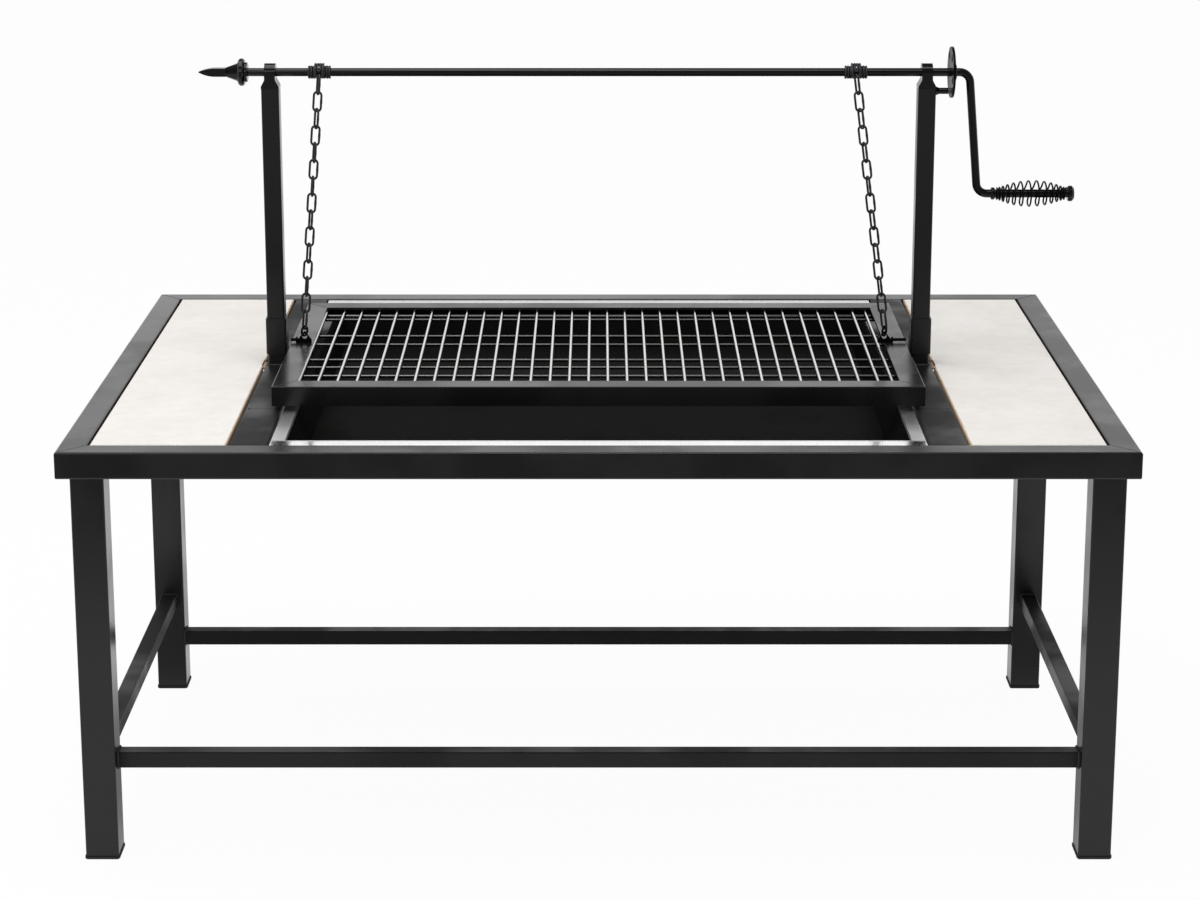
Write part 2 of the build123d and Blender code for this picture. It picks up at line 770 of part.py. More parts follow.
save("fire_pan", fire_pan())
save("pan_rim", pan_rim())
save("pan_ledges", pan_ledge(-1), pan_ledge(1))

save("lock_peg", lock_peg())
save("crank_shaft", crank_shaft())
save("spear_finial", spear_finial())
save("finial_collar", ring_on_bar(flange_face_x, finial_face_x, finial_collar_diameter, axle_z))
save("index_disc", index_disc())
save("disc_hub", ring_on_bar(disc_right_x, disc_right_x + hub_width, hub_diameter, axle_z))
save("grip_bead", ring_on_bar(bead_left_x, bead_right_x, bead_diameter, handle_z))
save("grip_end_cap", end_cap())
save("spring_grip", spring_grip())

chain_places = {"left": (left_winding_x, left_lug_x), "right": (right_winding_x, right_lug_x)}
for side_name, (winding_x, lug_x) in chain_places.items():
    upper, lower = hanging_chain(winding_x, lug_x)
    save(f"{side_name}_chain_winding", *chain_winding(winding_x))
    save(f"{side_name}_chain_upper", *upper)
    save(f"{side_name}_chain_lower", *lower)
    save(f"{side_name}_chain_lug", chain_lug(lug_x))
    save(f"{side_name}_shackle", shackle(lug_x))
    save(f"{side_name}_lug_brace", lug_brace(lug_x))

grill_rails = four_sided(angle_rail, grill_width, grill_depth, angle_flange, grill_bottom + angle_height / 2)
for side_name, rail in grill_rails.items():
    save(f"grill_{side_name}_rail", rail)
grate_count = round((grate_last_x - grate_first_x) / grate_pitch)
grate_places = [grate_first_x + i * grate_pitch for i in range(grate_count)] + [grate_last_x]
save("grate_bars", *[grate_bar_at(x) for x in grate_places])
rod_places = [grill_depth / 2 - inset for inset in cross_rods_from_back]
rod_places += [-grill_depth / 2 + inset for inset in cross_rods_from_front]
save("grate_cross_rods", *[rod_at(y, cross_rod) for y in rod_places])
end_rod_y = grill_depth / 2 - end_rod_inset
save("grate_end_rods", rod_at(-end_rod_y, end_rod), rod_at(end_rod_y, end_rod))

print(f"lift travel {lift_travel:.2f} mm, axle at Y {axle_y:.2f} Z {axle_z:.2f}, handle Z {handle_z:.2f}")
print(f"chains from Z {chain_top_z:.2f} to {chain_low_z:.2f}")
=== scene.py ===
import json
import math

import bpy
import numpy as np
from bpy.props import FloatProperty, FloatVectorProperty, IntProperty, PointerProperty
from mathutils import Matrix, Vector


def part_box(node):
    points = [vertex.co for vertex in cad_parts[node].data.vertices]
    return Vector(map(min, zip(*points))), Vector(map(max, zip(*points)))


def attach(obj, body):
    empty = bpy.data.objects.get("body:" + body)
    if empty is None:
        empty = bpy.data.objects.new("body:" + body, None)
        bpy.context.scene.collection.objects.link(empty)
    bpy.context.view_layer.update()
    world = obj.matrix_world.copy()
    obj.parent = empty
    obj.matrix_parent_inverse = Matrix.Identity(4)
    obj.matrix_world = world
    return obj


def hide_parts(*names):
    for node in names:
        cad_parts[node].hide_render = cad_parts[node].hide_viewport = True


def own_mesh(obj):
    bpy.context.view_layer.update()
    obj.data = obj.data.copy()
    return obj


bl_info = {
    "name": "Crank grill dressing",
    "version": (1, 0, 0),
    "blender": (4, 5, 0),
    "location": "View3D > Sidebar > Grill",
    "description": "Finishes, chains, welds and studio for a table grill with a hand crank",
    "category": "Object",
}

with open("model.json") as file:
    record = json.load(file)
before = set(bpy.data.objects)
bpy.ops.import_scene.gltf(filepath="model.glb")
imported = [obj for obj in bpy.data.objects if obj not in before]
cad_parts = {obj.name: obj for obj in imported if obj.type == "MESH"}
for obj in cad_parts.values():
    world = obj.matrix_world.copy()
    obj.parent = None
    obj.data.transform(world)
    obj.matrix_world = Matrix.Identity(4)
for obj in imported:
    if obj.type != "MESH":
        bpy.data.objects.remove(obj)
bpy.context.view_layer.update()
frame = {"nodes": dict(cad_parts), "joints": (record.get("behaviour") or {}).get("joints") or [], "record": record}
NODES = frame["nodes"]
SLOT_OF = {part["node"]: part["material_slot"] for part in frame["record"]["subparts"]}
JOINTS = {joint["name"]: joint for joint in frame["joints"]}
AXLE = np.array(JOINTS["crank_turn"]["pos_m"])

# Points round a link, along an arc, round an arc's end, per turn of the spring, round a wire, round a bead
LINK_POINTS = 56
ARC_POINTS = 40
BEND_POINTS = 16
COIL_POINTS = 40
WIRE_SIDES = 12
BEAD_SIDES = 8

# How fast the links' turns waver, in radians from link to link
EDGE_STEP = 2.3
FACE_STEP = 1.7

# Weld beads: height of the ripple as a share of the radius, and how a straight bead fades at its ends
LOOP_RIPPLE = 0.22
LINE_RIPPLE = 0.18
LINE_LEAST = 12
LINE_FADE = 12
LINE_END = 0.33
SEAM_SUNK = 0.6

# Painted shade on the flanks of the grate's bars and rods, as shares of the radius below the crown
FLANK_SHADE_NONE = 0.04
FLANK_SHADE_FULL = 0.26

# Painted shade and scuffs on the pan's rim, in metres from its front or back edge
RIM_SHADE_FRONT = (0.08, 0.3)
RIM_SHADE_BACK = (0.05, 0.03)
SCUFF_FRONT = (0.018, 0.03)
SCUFF_DULL = 0.28

# Raw arris of the tiles, in metres: how far it frays, its width and its depth
ARRIS_FRAY = 0.003
ARRIS_WIDTH = (0.0034, 0.0012)
ARRIS_DEPTH = (0.0022, 0.0010)


class ChainSizes(bpy.types.PropertyGroup):
    """Sizes of the hanging chains and of the chain wound on the axle."""

    wire: FloatProperty(
        name="Wire", description="Thickness of a link's wire", default=0.0036, unit="LENGTH"
    )
    width: FloatProperty(name="Width", description="Outer width of a link", default=0.0156, unit="LENGTH")
    slack: FloatProperty(name="Slack", description="Play between two links", default=0.0003, unit="LENGTH")
    links: IntProperty(name="Links", description="Links in one hanging chain", default=15)
    upper: IntProperty(name="Upper links", description="Links that the lift takes up", default=12)
    edge_turn: FloatProperty(
        name="Edge turn",
        description="Turn of every second link from facing the front",
        default=math.radians(68),
        subtype="ANGLE",
    )
    edge_sway: FloatProperty(
        name="Edge sway", description="How far that turn wavers", default=0.12, subtype="ANGLE"
    )
    face_sway: FloatProperty(
        name="Face sway", description="How far the facing links waver", default=0.1, subtype="ANGLE"
    )
    last_turn: FloatProperty(
        name="Last turn",
        description="Turn of the last link from facing the front",
        default=math.radians(60),
        subtype="ANGLE",
    )
    gap: FloatProperty(
        name="Gap", description="Play between axle and layers", default=0.00035, unit="LENGTH"
    )
    bar: FloatProperty(name="Bar", description="Radius of the axle", default=0.0065, unit="LENGTH")
    wrap_start: FloatProperty(
        name="Wrap start",
        description="Where the left inner link starts",
        default=math.radians(-100),
        subtype="ANGLE",
    )
    wrap_stagger: FloatProperty(
        name="Stagger",
        description="How much later the right one starts",
        default=math.radians(12),
        subtype="ANGLE",
    )
    wrap_inner: FloatProperty(
        name="Inner sweep",
        description="Angle that an inner link covers",
        default=math.radians(205),
        subtype="ANGLE",
    )
    wrap_outer: FloatProperty(
        name="Outer sweep",
        description="Angle that the outer link covers",
        default=math.radians(105),
        subtype="ANGLE",
    )
    nest_start: FloatProperty(
        name="Nest start",
        description="Where the strands inside the outer link start",
        default=math.radians(26),
        subtype="ANGLE",
    )
    weld: FloatProperty(name="Weld", description="Swelling at a link's butt weld", default=0.16)


class GripSizes(bpy.types.PropertyGroup):
    """Sizes of the barrel-shaped spring on the crank's handle."""

    wire: FloatProperty(
        name="Wire", description="Thickness of the spring's wire", default=0.0028, unit="LENGTH"
    )
    turns: IntProperty(name="Turns", description="Coils from bead to cap", default=13)
    ends: FloatProperty(
        name="End radius", description="Coil radius at both ends", default=0.0088, unit="LENGTH"
    )
    middle: FloatProperty(
        name="Middle radius", description="Coil radius at the belly", default=0.020, unit="LENGTH"
    )
    bunching: FloatProperty(name="Bunching", description="How much closer the end coils lie", default=0.52)
    lean: FloatProperty(
        name="Lean", description="How far a coil's front leans to the cap, per growth", default=0.1
    )
    crossing: FloatProperty(
        name="Crossing", description="Share of a turn in which a coil passes to the next", default=0.28
    )
    behind: FloatProperty(
        name="Behind", description="Middle of the crossing, in turns from the top", default=0.72
    )
    ringed: FloatProperty(
        name="Ringed", description="How much of the advance happens in the crossing", default=0.88
    )
    margin: FloatProperty(name="Margin", description="Gap to bead and cap", default=0.0012, unit="LENGTH")


class WeldSizes(bpy.types.PropertyGroup):
    """Sizes of the weld beads and of the raw edge in the tiles' notches."""

    bead: FloatProperty(name="Bead", description="Radius of a frame weld", default=0.0017, unit="LENGTH")
    seam: FloatProperty(
        name="Seam", description="Radius of a ground mitre seam", default=0.0007, unit="LENGTH"
    )
    inset: FloatProperty(
        name="Inset", description="Gap from a rail's corner to its seam", default=0.002, unit="LENGTH"
    )
    rebate: FloatProperty(
        name="Rebate", description="Radius of a tile's raw notch edge", default=0.0026, unit="LENGTH"
    )
    ripple: FloatProperty(
        name="Ripple", description="Length of one ripple along a bead", default=0.0026, unit="LENGTH"
    )


class FinishColours(bpy.types.PropertyGroup):
    """Base colours of the finishes."""

    coat: FloatVectorProperty(
        name="Powder coat",
        description="Satin black of frame and grill",
        default=(0.0056, 0.0057, 0.0059),
        subtype="COLOR",
    )
    forged: FloatVectorProperty(
        name="Forged black",
        description="Black of crank and forgings",
        default=(0.0026, 0.0026, 0.0028),
        subtype="COLOR",
    )
    chain: FloatVectorProperty(
        name="Chain", description="Blackened chain", default=(0.0024, 0.0024, 0.0025), subtype="COLOR"
    )
    enamel: FloatVectorProperty(
        name="Pan", description="Black enamel of the pan", default=(0.004, 0.004, 0.0041), subtype="COLOR"
    )
    steel: FloatVectorProperty(
        name="Stainless", description="Bright drawn steel", default=(0.78, 0.775, 0.765), subtype="COLOR"
    )
    # Painted shade for the flanks of the grate's bars and the side strips of the pan's rim
    painted_shade: FloatVectorProperty(
        name="Painted shade colour",
        description="Dark flanks of the grate's bars",
        default=(0.05, 0.049, 0.048),
        subtype="COLOR",
    )
    bright: FloatVectorProperty(
        name="Rim",
        description="Polished steel of the pan's rim",
        default=(0.985, 0.985, 0.98),
        subtype="COLOR",
    )
    tile: FloatVectorProperty(
        name="Tile", description="Pale face of the side tiles", default=(0.755, 0.73, 0.70), subtype="COLOR"
    )
    tile_edge: FloatVectorProperty(
        name="Tile edge",
        description="Brown-beige of the tiles' edges",
        default=(0.42, 0.30, 0.205),
        subtype="COLOR",
    )
    plastic: FloatVectorProperty(
        name="Foot caps",
        description="Moulded black plastic",
        default=(0.012, 0.012, 0.012),
        subtype="COLOR",
    )


class StageSettings(bpy.types.PropertyGroup):
    """Camera, floor and light."""

    place: FloatVectorProperty(
        name="Camera", description="Camera position", default=(0.00233, -4.322, 1.787), subtype="XYZ"
    )
    pitch: FloatProperty(
        name="Pitch", description="Camera tilt below level", default=0.2276, subtype="ANGLE"
    )
    lens: FloatProperty(
        name="Lens", description="Focal length in millimetres", default=83.86, unit="CAMERA"
    )
    shift: FloatProperty(name="Shift", description="Vertical lens shift", default=-0.13)
    floor: FloatProperty(name="Floor", description="Half size of the floor", default=30.0, unit="LENGTH")
    shown: FloatProperty(name="Shown", description="How much of the floor is an even white", default=0.955)
    dim: FloatProperty(name="Dim", description="What mirrors see of the room in front", default=0.16)
    # Painted light on the floor for mirrors: painted shadow under the table, painted pool and glow in front
    under: FloatProperty(
        name="Under", description="What mirrors see of the floor under the table", default=0.4
    )
    shade: FloatVectorProperty(
        name="Shade", description="Where that floor goes from dim to white", default=(0.1, 0.5), size=2
    )
    pool: FloatVectorProperty(
        name="Pool",
        description="Where the floor in front goes from dim to white",
        default=(-2.4, -1.3),
        size=2,
    )
    far: FloatVectorProperty(
        name="Far", description="Where the floor far in front glows again", default=(-4.4, -3.6), size=2
    )
    glow: FloatProperty(name="Glow", description="What mirrors see of the floor far in front", default=0.42)
    room: FloatVectorProperty(
        name="Room",
        description="Where the dim front turns into the white back, as sine",
        default=(-0.25, 0.2),
        size=2,
    )
    wall: FloatVectorProperty(
        name="Wall",
        description="Where the white back wall fades out, as sine of the height",
        default=(0.36, 0.6),
        size=2,
    )
    sky: FloatProperty(name="Sky", description="Strength of the even surrounding light", default=0.62)
    key: FloatProperty(name="Key", description="Power of the overhead soft box", default=70.0, unit="POWER")
    fill: FloatProperty(name="Fill", description="Power of the front soft box", default=26.0, unit="POWER")


class GrillSettings(bpy.types.PropertyGroup):
    """All settings in one place."""

    chain: PointerProperty(type=ChainSizes)
    grip: PointerProperty(type=GripSizes)
    weld: PointerProperty(type=WeldSizes)
    colour: PointerProperty(type=FinishColours)
    stage: PointerProperty(type=StageSettings)


def sizes():
    """The scene's settings of this add-on."""
    return bpy.context.scene.grill


def unit(v):
    """Vectors along the last axis, each divided by its length."""
    return v / np.linalg.norm(v, axis=-1, keepdims=True)


def tube(path, side, radius, around, closed):
    """Tube round a path: P(u, v) = path(u) + radius(u) * (cos v * N(u) + sin v * (T(u) x N(u))).

    T is the path's direction from central differences and N is side made square to T. Paths may be stacked
    in leading axes: path has shape (..., n, 3).
    """
    ahead = np.roll(path, -1, axis=-2)
    behind = np.roll(path, 1, axis=-2)
    if not closed:
        ahead[..., -1, :] = path[..., -1, :]
        behind[..., 0, :] = path[..., 0, :]
    along = unit(ahead - behind)
    out = unit(side - np.sum(side * along, axis=-1, keepdims=True) * along)
    across = np.cross(along, out)
    angle = np.linspace(0.0, 2.0 * math.pi, around, endpoint=False)
    ring = np.cos(angle)[:, None] * out[..., None, :] + np.sin(angle)[:, None] * across[..., None, :]
    return path[..., None, :] + radius[..., None, None] * ring


def grid_faces(rows, columns, closed_rows):
    """Quads of a grid that is closed across its columns, and along its rows if asked."""
    row = np.arange(rows if closed_rows else rows - 1)
    column = np.arange(columns)
    r, c = np.meshgrid(row, column, indexing="ij")
    r2 = (r + 1) % rows
    c2 = (c + 1) % columns
    corners = [r * columns + c, r * columns + c2, r2 * columns + c2, r2 * columns + c]
    return np.stack(corners, axis=-1).reshape(-1, 4)


def cap_faces(rows, columns):
    """The two end rings of an open tube as polygons, turned outwards."""
    first = np.arange(columns)
    last = (rows - 1) * columns + np.arange(columns)
    return [first[::-1].tolist(), last.tolist()]


def mesh_object(name, grids, closed, material):
    """One mesh object from a stack of tube grids of shape (copies, rows, columns, 3)."""
    points = []
    faces = []
    offset = 0
    for grid in grids:
        copies, rows, columns, _ = grid.shape
        quads = grid_faces(rows, columns, closed)
        each = rows * columns
        shift = offset + each * np.arange(copies)
        faces += (quads[None] + shift[:, None, None]).reshape(-1, 4).tolist()
        if not closed:
            caps = np.array(cap_faces(rows, columns))
            faces += (caps[None] + shift[:, None, None]).reshape(-1, columns).tolist()
        points.append(grid.reshape(-1, 3))
        offset += each * copies
    mesh = bpy.data.meshes.new(name)
    mesh.from_pydata(np.concatenate(points).tolist(), [], faces)
    mesh.update()
    mesh.polygons.foreach_set("use_smooth", np.ones(len(mesh.polygons), dtype=bool))
    mesh.materials.append(material)
    piece = bpy.data.objects.new(name, mesh)
    bpy.context.scene.collection.objects.link(piece)
    return piece


def stadium(straight, radius, count):
    """Closed stadium outline in its own plane, count points evenly spaced by arc length.

    Two half circles of the radius stand at +-straight / 2, and the point at arc length s comes from linear
    interpolation on a dense outline.
    """
    angle = np.linspace(-math.pi / 2, math.pi * 3 / 2, 129)
    shift = np.where(angle < math.pi / 2, straight / 2, -straight / 2)
    shift[-1] = straight / 2
    dense = np.stack([shift + radius * np.cos(angle), radius * np.sin(angle)], axis=-1)
    steps = np.concatenate([[0.0], np.cumsum(np.linalg.norm(np.diff(dense, axis=0), axis=-1))])
    s = np.linspace(0.0, steps[-1], count, endpoint=False)
    return np.stack([np.interp(s, steps, dense[:, 0]), np.interp(s, steps, dense[:, 1])], axis=-1)


def chain_ends(side):
    """Points where one side's hanging chain starts in its outer wound link and ends on its shackle ring."""
    chain = sizes().chain
    wound_low, wound_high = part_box(f"{side}_chain_winding")
    ring_low, ring_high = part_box(f"{side}_shackle")
    bend = (chain.width - chain.wire) / 2
    top_z = AXLE[2] - bend + (chain.wire + chain.slack) / 2
    low_z = ring_high.z - chain.wire - chain.slack / 2
    top_x = (wound_low.x + wound_high.x) / 2
    low_x = (ring_low.x + ring_high.x) / 2
    return np.array([top_x, 0.0, top_z]), np.array([low_x, 0.0, low_z])


def chain_links(top, bottom, count, chosen):
    """Round links along a line from top to bottom, each a tube round a stadium outline.

    Every second link faces the front, the ones between stand almost edge-on, and the last is turned part of
    the way. The wire swells by a Gauss bump at the butt weld on one long side, at the distance d from it:
    r = r0 * (1 + w * exp(-(d / wire)^2)).
    """
    chain = sizes().chain
    span = bottom - top
    pitch = np.linalg.norm(span) / count
    along = span / np.linalg.norm(span)
    bend = (chain.width - chain.wire) / 2
    outline = stadium(pitch + chain.slack + chain.wire - 2 * bend, bend, LINK_POINTS)
    front = np.array([0.0, 1.0, 0.0])
    sideways = unit(np.cross(along, front))
    index = np.arange(count)[chosen]
    centre = top + along * (pitch * (index[:, None] + 0.5))
    edge = chain.edge_turn + chain.edge_sway * np.sin(EDGE_STEP * index)
    turn = np.where(index % 2 == 0, edge, chain.face_sway * np.sin(FACE_STEP * index))
    turn[index == count - 1] = chain.last_turn
    normal = np.cos(turn)[:, None] * front + np.sin(turn)[:, None] * sideways
    across = np.cross(along, normal)
    path = centre[:, None, :] + outline[None, :, :1] * along + outline[None, :, 1:] * across[:, None, :]
    side = np.broadcast_to(normal[:, None, :], path.shape)
    from_weld = np.hypot(outline[:, 0], outline[:, 1] - bend)
    radius = chain.wire / 2 * (1 + chain.weld * np.exp(-((from_weld / chain.wire) ** 2)))
    return tube(path, side, np.broadcast_to(radius, path.shape[:2]), WIRE_SIDES, True)


def bent_links(x, layers):
    """Links wrapped round the axle: two arcs about it, joined by half circles that follow its curve too.

    Each layer is (offset along X, layer radius, start angle, sweep, half width, curl), with the angle 0 at
    the front of the axle. A point at distance a beyond a link's start or end lies at the angle a / radius,
    and with a curl of 0 the start end stays in its tangent plane instead.
    """
    chain = sizes().chain
    layer = np.array(layers)
    offset, radius, start, sweep, half, curl = (layer[:, k, None] for k in range(6))
    share = np.linspace(0.0, 1.0, ARC_POINTS, endpoint=False)
    round_end = np.linspace(-math.pi / 2, math.pi / 2, BEND_POINTS, endpoint=False)
    none, one = np.zeros(ARC_POINTS), np.ones(ARC_POINTS)
    away = half * np.concatenate([none, np.cos(round_end), none, -np.cos(round_end)])
    across = half * np.concatenate([-one, np.sin(round_end), one, -np.sin(round_end)])
    part = np.concatenate([share, np.ones(BEND_POINTS), 1 - share, np.zeros(BEND_POINTS)])
    curled = np.where(part > 0, 1.0, curl)
    angle = start + sweep * part + curled * away / radius
    out = np.stack([np.zeros_like(angle), -np.cos(angle), np.sin(angle)], axis=-1)
    ahead = np.stack([np.zeros_like(angle), np.sin(angle), np.cos(angle)], axis=-1)
    path = AXLE + radius[..., None] * out + ((1 - curled) * away)[..., None] * ahead
    path[..., 0] = x + offset + across
    return tube(path, out, np.full(path.shape[:2], chain.wire / 2), WIRE_SIDES, True)


def spring_coil(start, end, centre_y, centre_z):
    """Barrel spring: x = start + L * (s - k sin(2 pi s) / (2 pi)), r = r0 + (r1 - r0) sin^2(pi t).

    The coils are almost rings: the advance s follows the turn t, but most of each turn's share is taken in
    a smooth step at the back. A coil's front leans to the cap by a share of what r has grown from r0.
    """
    grip = sizes().grip
    t = np.linspace(0.0, 1.0, grip.turns * COIL_POINTS + 1)
    turn = grip.turns * t
    count = np.floor(turn - grip.behind + 0.5)
    step = np.clip((turn - grip.behind - count) / grip.crossing + 0.5, 0.0, 1.0)
    ring = count + grip.behind - 0.5 + step**2 * (3 - 2 * step)
    s = (turn + grip.ringed * (ring - turn)) / grip.turns
    length = end - start - 2 * grip.margin - grip.wire
    bunched = s - grip.bunching * np.sin(2 * math.pi * s) / (2 * math.pi)
    x = start + grip.margin + grip.wire / 2 + length * bunched
    coil = grip.ends + (grip.middle - grip.ends) * np.sin(math.pi * t) ** 2
    angle = 2 * math.pi * turn
    out = np.stack([np.zeros_like(t), -np.sin(angle), np.cos(angle)], axis=-1)
    x = x - grip.lean * (coil - grip.ends) * out[:, 1]
    path = np.stack([x, centre_y + coil * out[:, 1], centre_z + coil * out[:, 2]], axis=-1)
    return tube(path[None], out[None], np.full((1, len(t)), grip.wire / 2), WIRE_SIDES, False)


def box_middle(name):
    """Middle and half size of a CAD piece's box."""
    low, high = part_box(name)
    return (low + high) / 2, (high - low) / 2


def rectangle_loop(half_a, half_b, count):
    """Closed rectangle outline, count points evenly spaced by arc length."""
    corners = np.array([[-1, -1], [1, -1], [1, 1], [-1, 1], [-1, -1]]) * np.array([half_a, half_b])
    steps = np.concatenate([[0.0], np.cumsum(np.linalg.norm(np.diff(corners, axis=0), axis=-1))])
    s = np.linspace(0.0, steps[-1], count, endpoint=False)
    return np.stack([np.interp(s, steps, corners[:, 0]), np.interp(s, steps, corners[:, 1])], axis=-1)


def loop_bead(centre, first, second, half_a, half_b, size):
    """Rippled weld round a rectangular tube's end: r(s) = size * (1 + h cos(2 pi s / ripple))."""
    count = 4 * int((half_a + half_b) * 4 / sizes().weld.ripple)
    outline = rectangle_loop(half_a, half_b, count)
    path = np.array(centre) + outline[:, :1] * np.array(first) + outline[:, 1:] * np.array(second)
    normal = np.broadcast_to(np.cross(first, second), path.shape)
    radius = size * (1 + LOOP_RIPPLE * np.cos(np.arange(count) * math.pi / 2))
    return tube(path[None], normal[None], radius[None], BEAD_SIDES, True)


def line_bead(start, end, up, size):
    """Straight rippled weld from start to end, its radius fading to a third at both ends."""
    start = np.array(start)
    end = np.array(end)
    count = max(LINE_LEAST, 4 * int(np.linalg.norm(end - start) / sizes().weld.ripple))
    t = np.linspace(0.0, 1.0, count)
    path = start + t[:, None] * (end - start)
    fade = np.clip(np.minimum(t, 1 - t) * LINE_FADE, LINE_END, 1.0)
    radius = size * fade * (1 + LINE_RIPPLE * np.cos(np.arange(count) * math.pi / 2))
    side = np.broadcast_to(np.array(up, dtype=float), path.shape)
    return tube(path[None], side[None], radius[None], BEAD_SIDES, False)


def group_sockets(name, inputs, outputs):
    """New shader node group with its sockets, and its input and output nodes."""
    group = bpy.data.node_groups.new(name, "ShaderNodeTree")
    for label, kind in inputs:
        group.interface.new_socket(name=label, in_out="INPUT", socket_type=kind)
    for label, kind in outputs:
        group.interface.new_socket(name=label, in_out="OUTPUT", socket_type=kind)
    return group, group.nodes.new("NodeGroupInput"), group.nodes.new("NodeGroupOutput")


def noise(tree, vector, scale, detail, roughness=0.5):
    """Noise texture on a vector, its scale a number or a socket."""
    node = tree.nodes.new("ShaderNodeTexNoise")
    node.inputs["Detail"].default_value = detail
    node.inputs["Roughness"].default_value = roughness
    tree.links.new(vector, node.inputs["Vector"])
    if isinstance(scale, (int, float)):
        node.inputs["Scale"].default_value = scale
    else:
        tree.links.new(scale, node.inputs["Scale"])
    return node.outputs["Fac"]


def ramp(tree, value, low, high, to_low=0.0, to_high=1.0):
    """Smooth step of a value from low..high to to_low..to_high."""
    node = tree.nodes.new("ShaderNodeMapRange")
    node.interpolation_type = "SMOOTHSTEP"
    node.inputs["From Min"].default_value = low
    node.inputs["From Max"].default_value = high
    node.inputs["To Min"].default_value = to_low
    node.inputs["To Max"].default_value = to_high
    tree.links.new(value, node.inputs["Value"])
    return node.outputs["Result"]


def math_node(tree, operation, first, second=None):
    """Math node on sockets or numbers."""
    node = tree.nodes.new("ShaderNodeMath")
    node.operation = operation
    for socket, value in zip(node.inputs, (first, second)):
        if value is None:
            continue
        if isinstance(value, (int, float)):
            socket.default_value = value
        else:
            tree.links.new(value, socket)
    return node.outputs["Value"]


def mix_colour(tree, share, first, second):
    """Mix of two colours, each a socket or a tuple, by a share socket."""
    node = tree.nodes.new("ShaderNodeMix")
    node.data_type = "RGBA"
    tree.links.new(share, node.inputs["Factor"])
    for socket, value in ((node.inputs["A"], first), (node.inputs["B"], second)):
        if isinstance(value, bpy.types.NodeSocket):
            tree.links.new(value, socket)
        else:
            socket.default_value = (*value, 1.0)
    return node.outputs["Result"]


def axes(tree, vector):
    """X, Y and Z sockets of a vector socket."""
    node = tree.nodes.new("ShaderNodeSeparateXYZ")
    tree.links.new(vector, node.inputs["Vector"])
    return node.outputs


def coordinates(tree, kind):
    """Socket of one kind of texture coordinates."""
    return tree.nodes.new("ShaderNodeTexCoord").outputs[kind]


def coat_grain_group():
    """Powder coat: fine orange peel as height, and a slow cloud for colour and gloss."""
    group, source, sink = group_sockets(
        "CoatGrain",
        [("Vector", "NodeSocketVector"), ("Grain", "NodeSocketFloat")],
        [("Height", "NodeSocketFloat"), ("Cloud", "NodeSocketFloat")],
    )
    peel = noise(group, source.outputs["Vector"], source.outputs["Grain"], 2.0, 0.45)
    cloud = noise(group, source.outputs["Vector"], 5.0, 3.0, 0.6)
    group.links.new(peel, sink.inputs["Height"])
    group.links.new(ramp(group, cloud, 0.3, 0.7), sink.inputs["Cloud"])
    return group


def drawn_steel_group():
    """Drawn stainless steel: fine lines along one direction, and soft blotches of gloss."""
    group, source, sink = group_sockets(
        "DrawnSteel",
        [("Vector", "NodeSocketVector")],
        [("Lines", "NodeSocketFloat"), ("Blotch", "NodeSocketFloat")],
    )
    lines = noise(group, source.outputs["Vector"], 1.0, 4.0, 0.65)
    blotch = noise(group, source.outputs["Vector"], 0.05, 2.0)
    group.links.new(lines, sink.inputs["Lines"])
    group.links.new(ramp(group, blotch, 0.35, 0.65), sink.inputs["Blotch"])
    return group


def blank_material(name):
    """Material with only a Principled shader and Object coordinates."""
    material = bpy.data.materials.new(name)
    material.use_nodes = True
    tree = material.node_tree
    tree.nodes.clear()
    shader = tree.nodes.new("ShaderNodeBsdfPrincipled")
    output = tree.nodes.new("ShaderNodeOutputMaterial")
    tree.links.new(shader.outputs["BSDF"], output.inputs["Surface"])
    return material, tree, shader, coordinates(tree, "Object")


def made_before(material):
    """Node tree, shader and places of a material that gets one more layer."""
    tree = material.node_tree
    shader = next(item for item in tree.nodes if item.type == "BSDF_PRINCIPLED")
    return tree, shader, axes(tree, coordinates(tree, "Object"))


def bump(tree, shader, height, strength, distance):
    """Bump node from a height socket into the shader's Normal."""
    node = tree.nodes.new("ShaderNodeBump")
    node.inputs["Strength"].default_value = strength
    node.inputs["Distance"].default_value = distance
    tree.links.new(height, node.inputs["Height"])
    tree.links.new(node.outputs["Normal"], shader.inputs["Normal"])


def coated(name, group, colour, grain, relief, gloss, specular, lift):
    """Black coated metal: orange peel, cloudy gloss and a slightly lighter cloud in the colour."""
    material, tree, shader, place = blank_material(name)
    coat = tree.nodes.new("ShaderNodeGroup")
    coat.node_tree = group
    coat.inputs["Grain"].default_value = grain
    tree.links.new(place, coat.inputs["Vector"])
    light = tuple(c * lift for c in colour)
    cloud = coat.outputs["Cloud"]
    tree.links.new(mix_colour(tree, cloud, tuple(colour), light), shader.inputs["Base Color"])
    tree.links.new(ramp(tree, cloud, 0.0, 1.0, gloss * 0.75, gloss * 1.35), shader.inputs["Roughness"])
    shader.inputs["Specular IOR Level"].default_value = specular
    bump(tree, shader, coat.outputs["Height"], relief, 0.0006)
    return material


def stainless(name, group, colour, stretch, gloss, relief):
    """Bright stainless steel with drawing lines; stretch scales the line pattern along X, Y and Z."""
    material, tree, shader, place = blank_material(name)
    mapping = tree.nodes.new("ShaderNodeMapping")
    mapping.inputs["Scale"].default_value = stretch
    tree.links.new(place, mapping.inputs["Vector"])
    steel = tree.nodes.new("ShaderNodeGroup")
    steel.node_tree = group
    tree.links.new(mapping.outputs["Vector"], steel.inputs["Vector"])
    dull = tuple(c * 0.94 for c in colour)
    finish = mix_colour(tree, steel.outputs["Blotch"], dull, tuple(colour))
    tree.links.new(finish, shader.inputs["Base Color"])
    lines = steel.outputs["Lines"]
    tree.links.new(ramp(tree, lines, 0.25, 0.75, gloss, gloss + 0.14), shader.inputs["Roughness"])
    shader.inputs["Metallic"].default_value = 1.0
    bump(tree, shader, lines, relief, 0.0004)
    return material


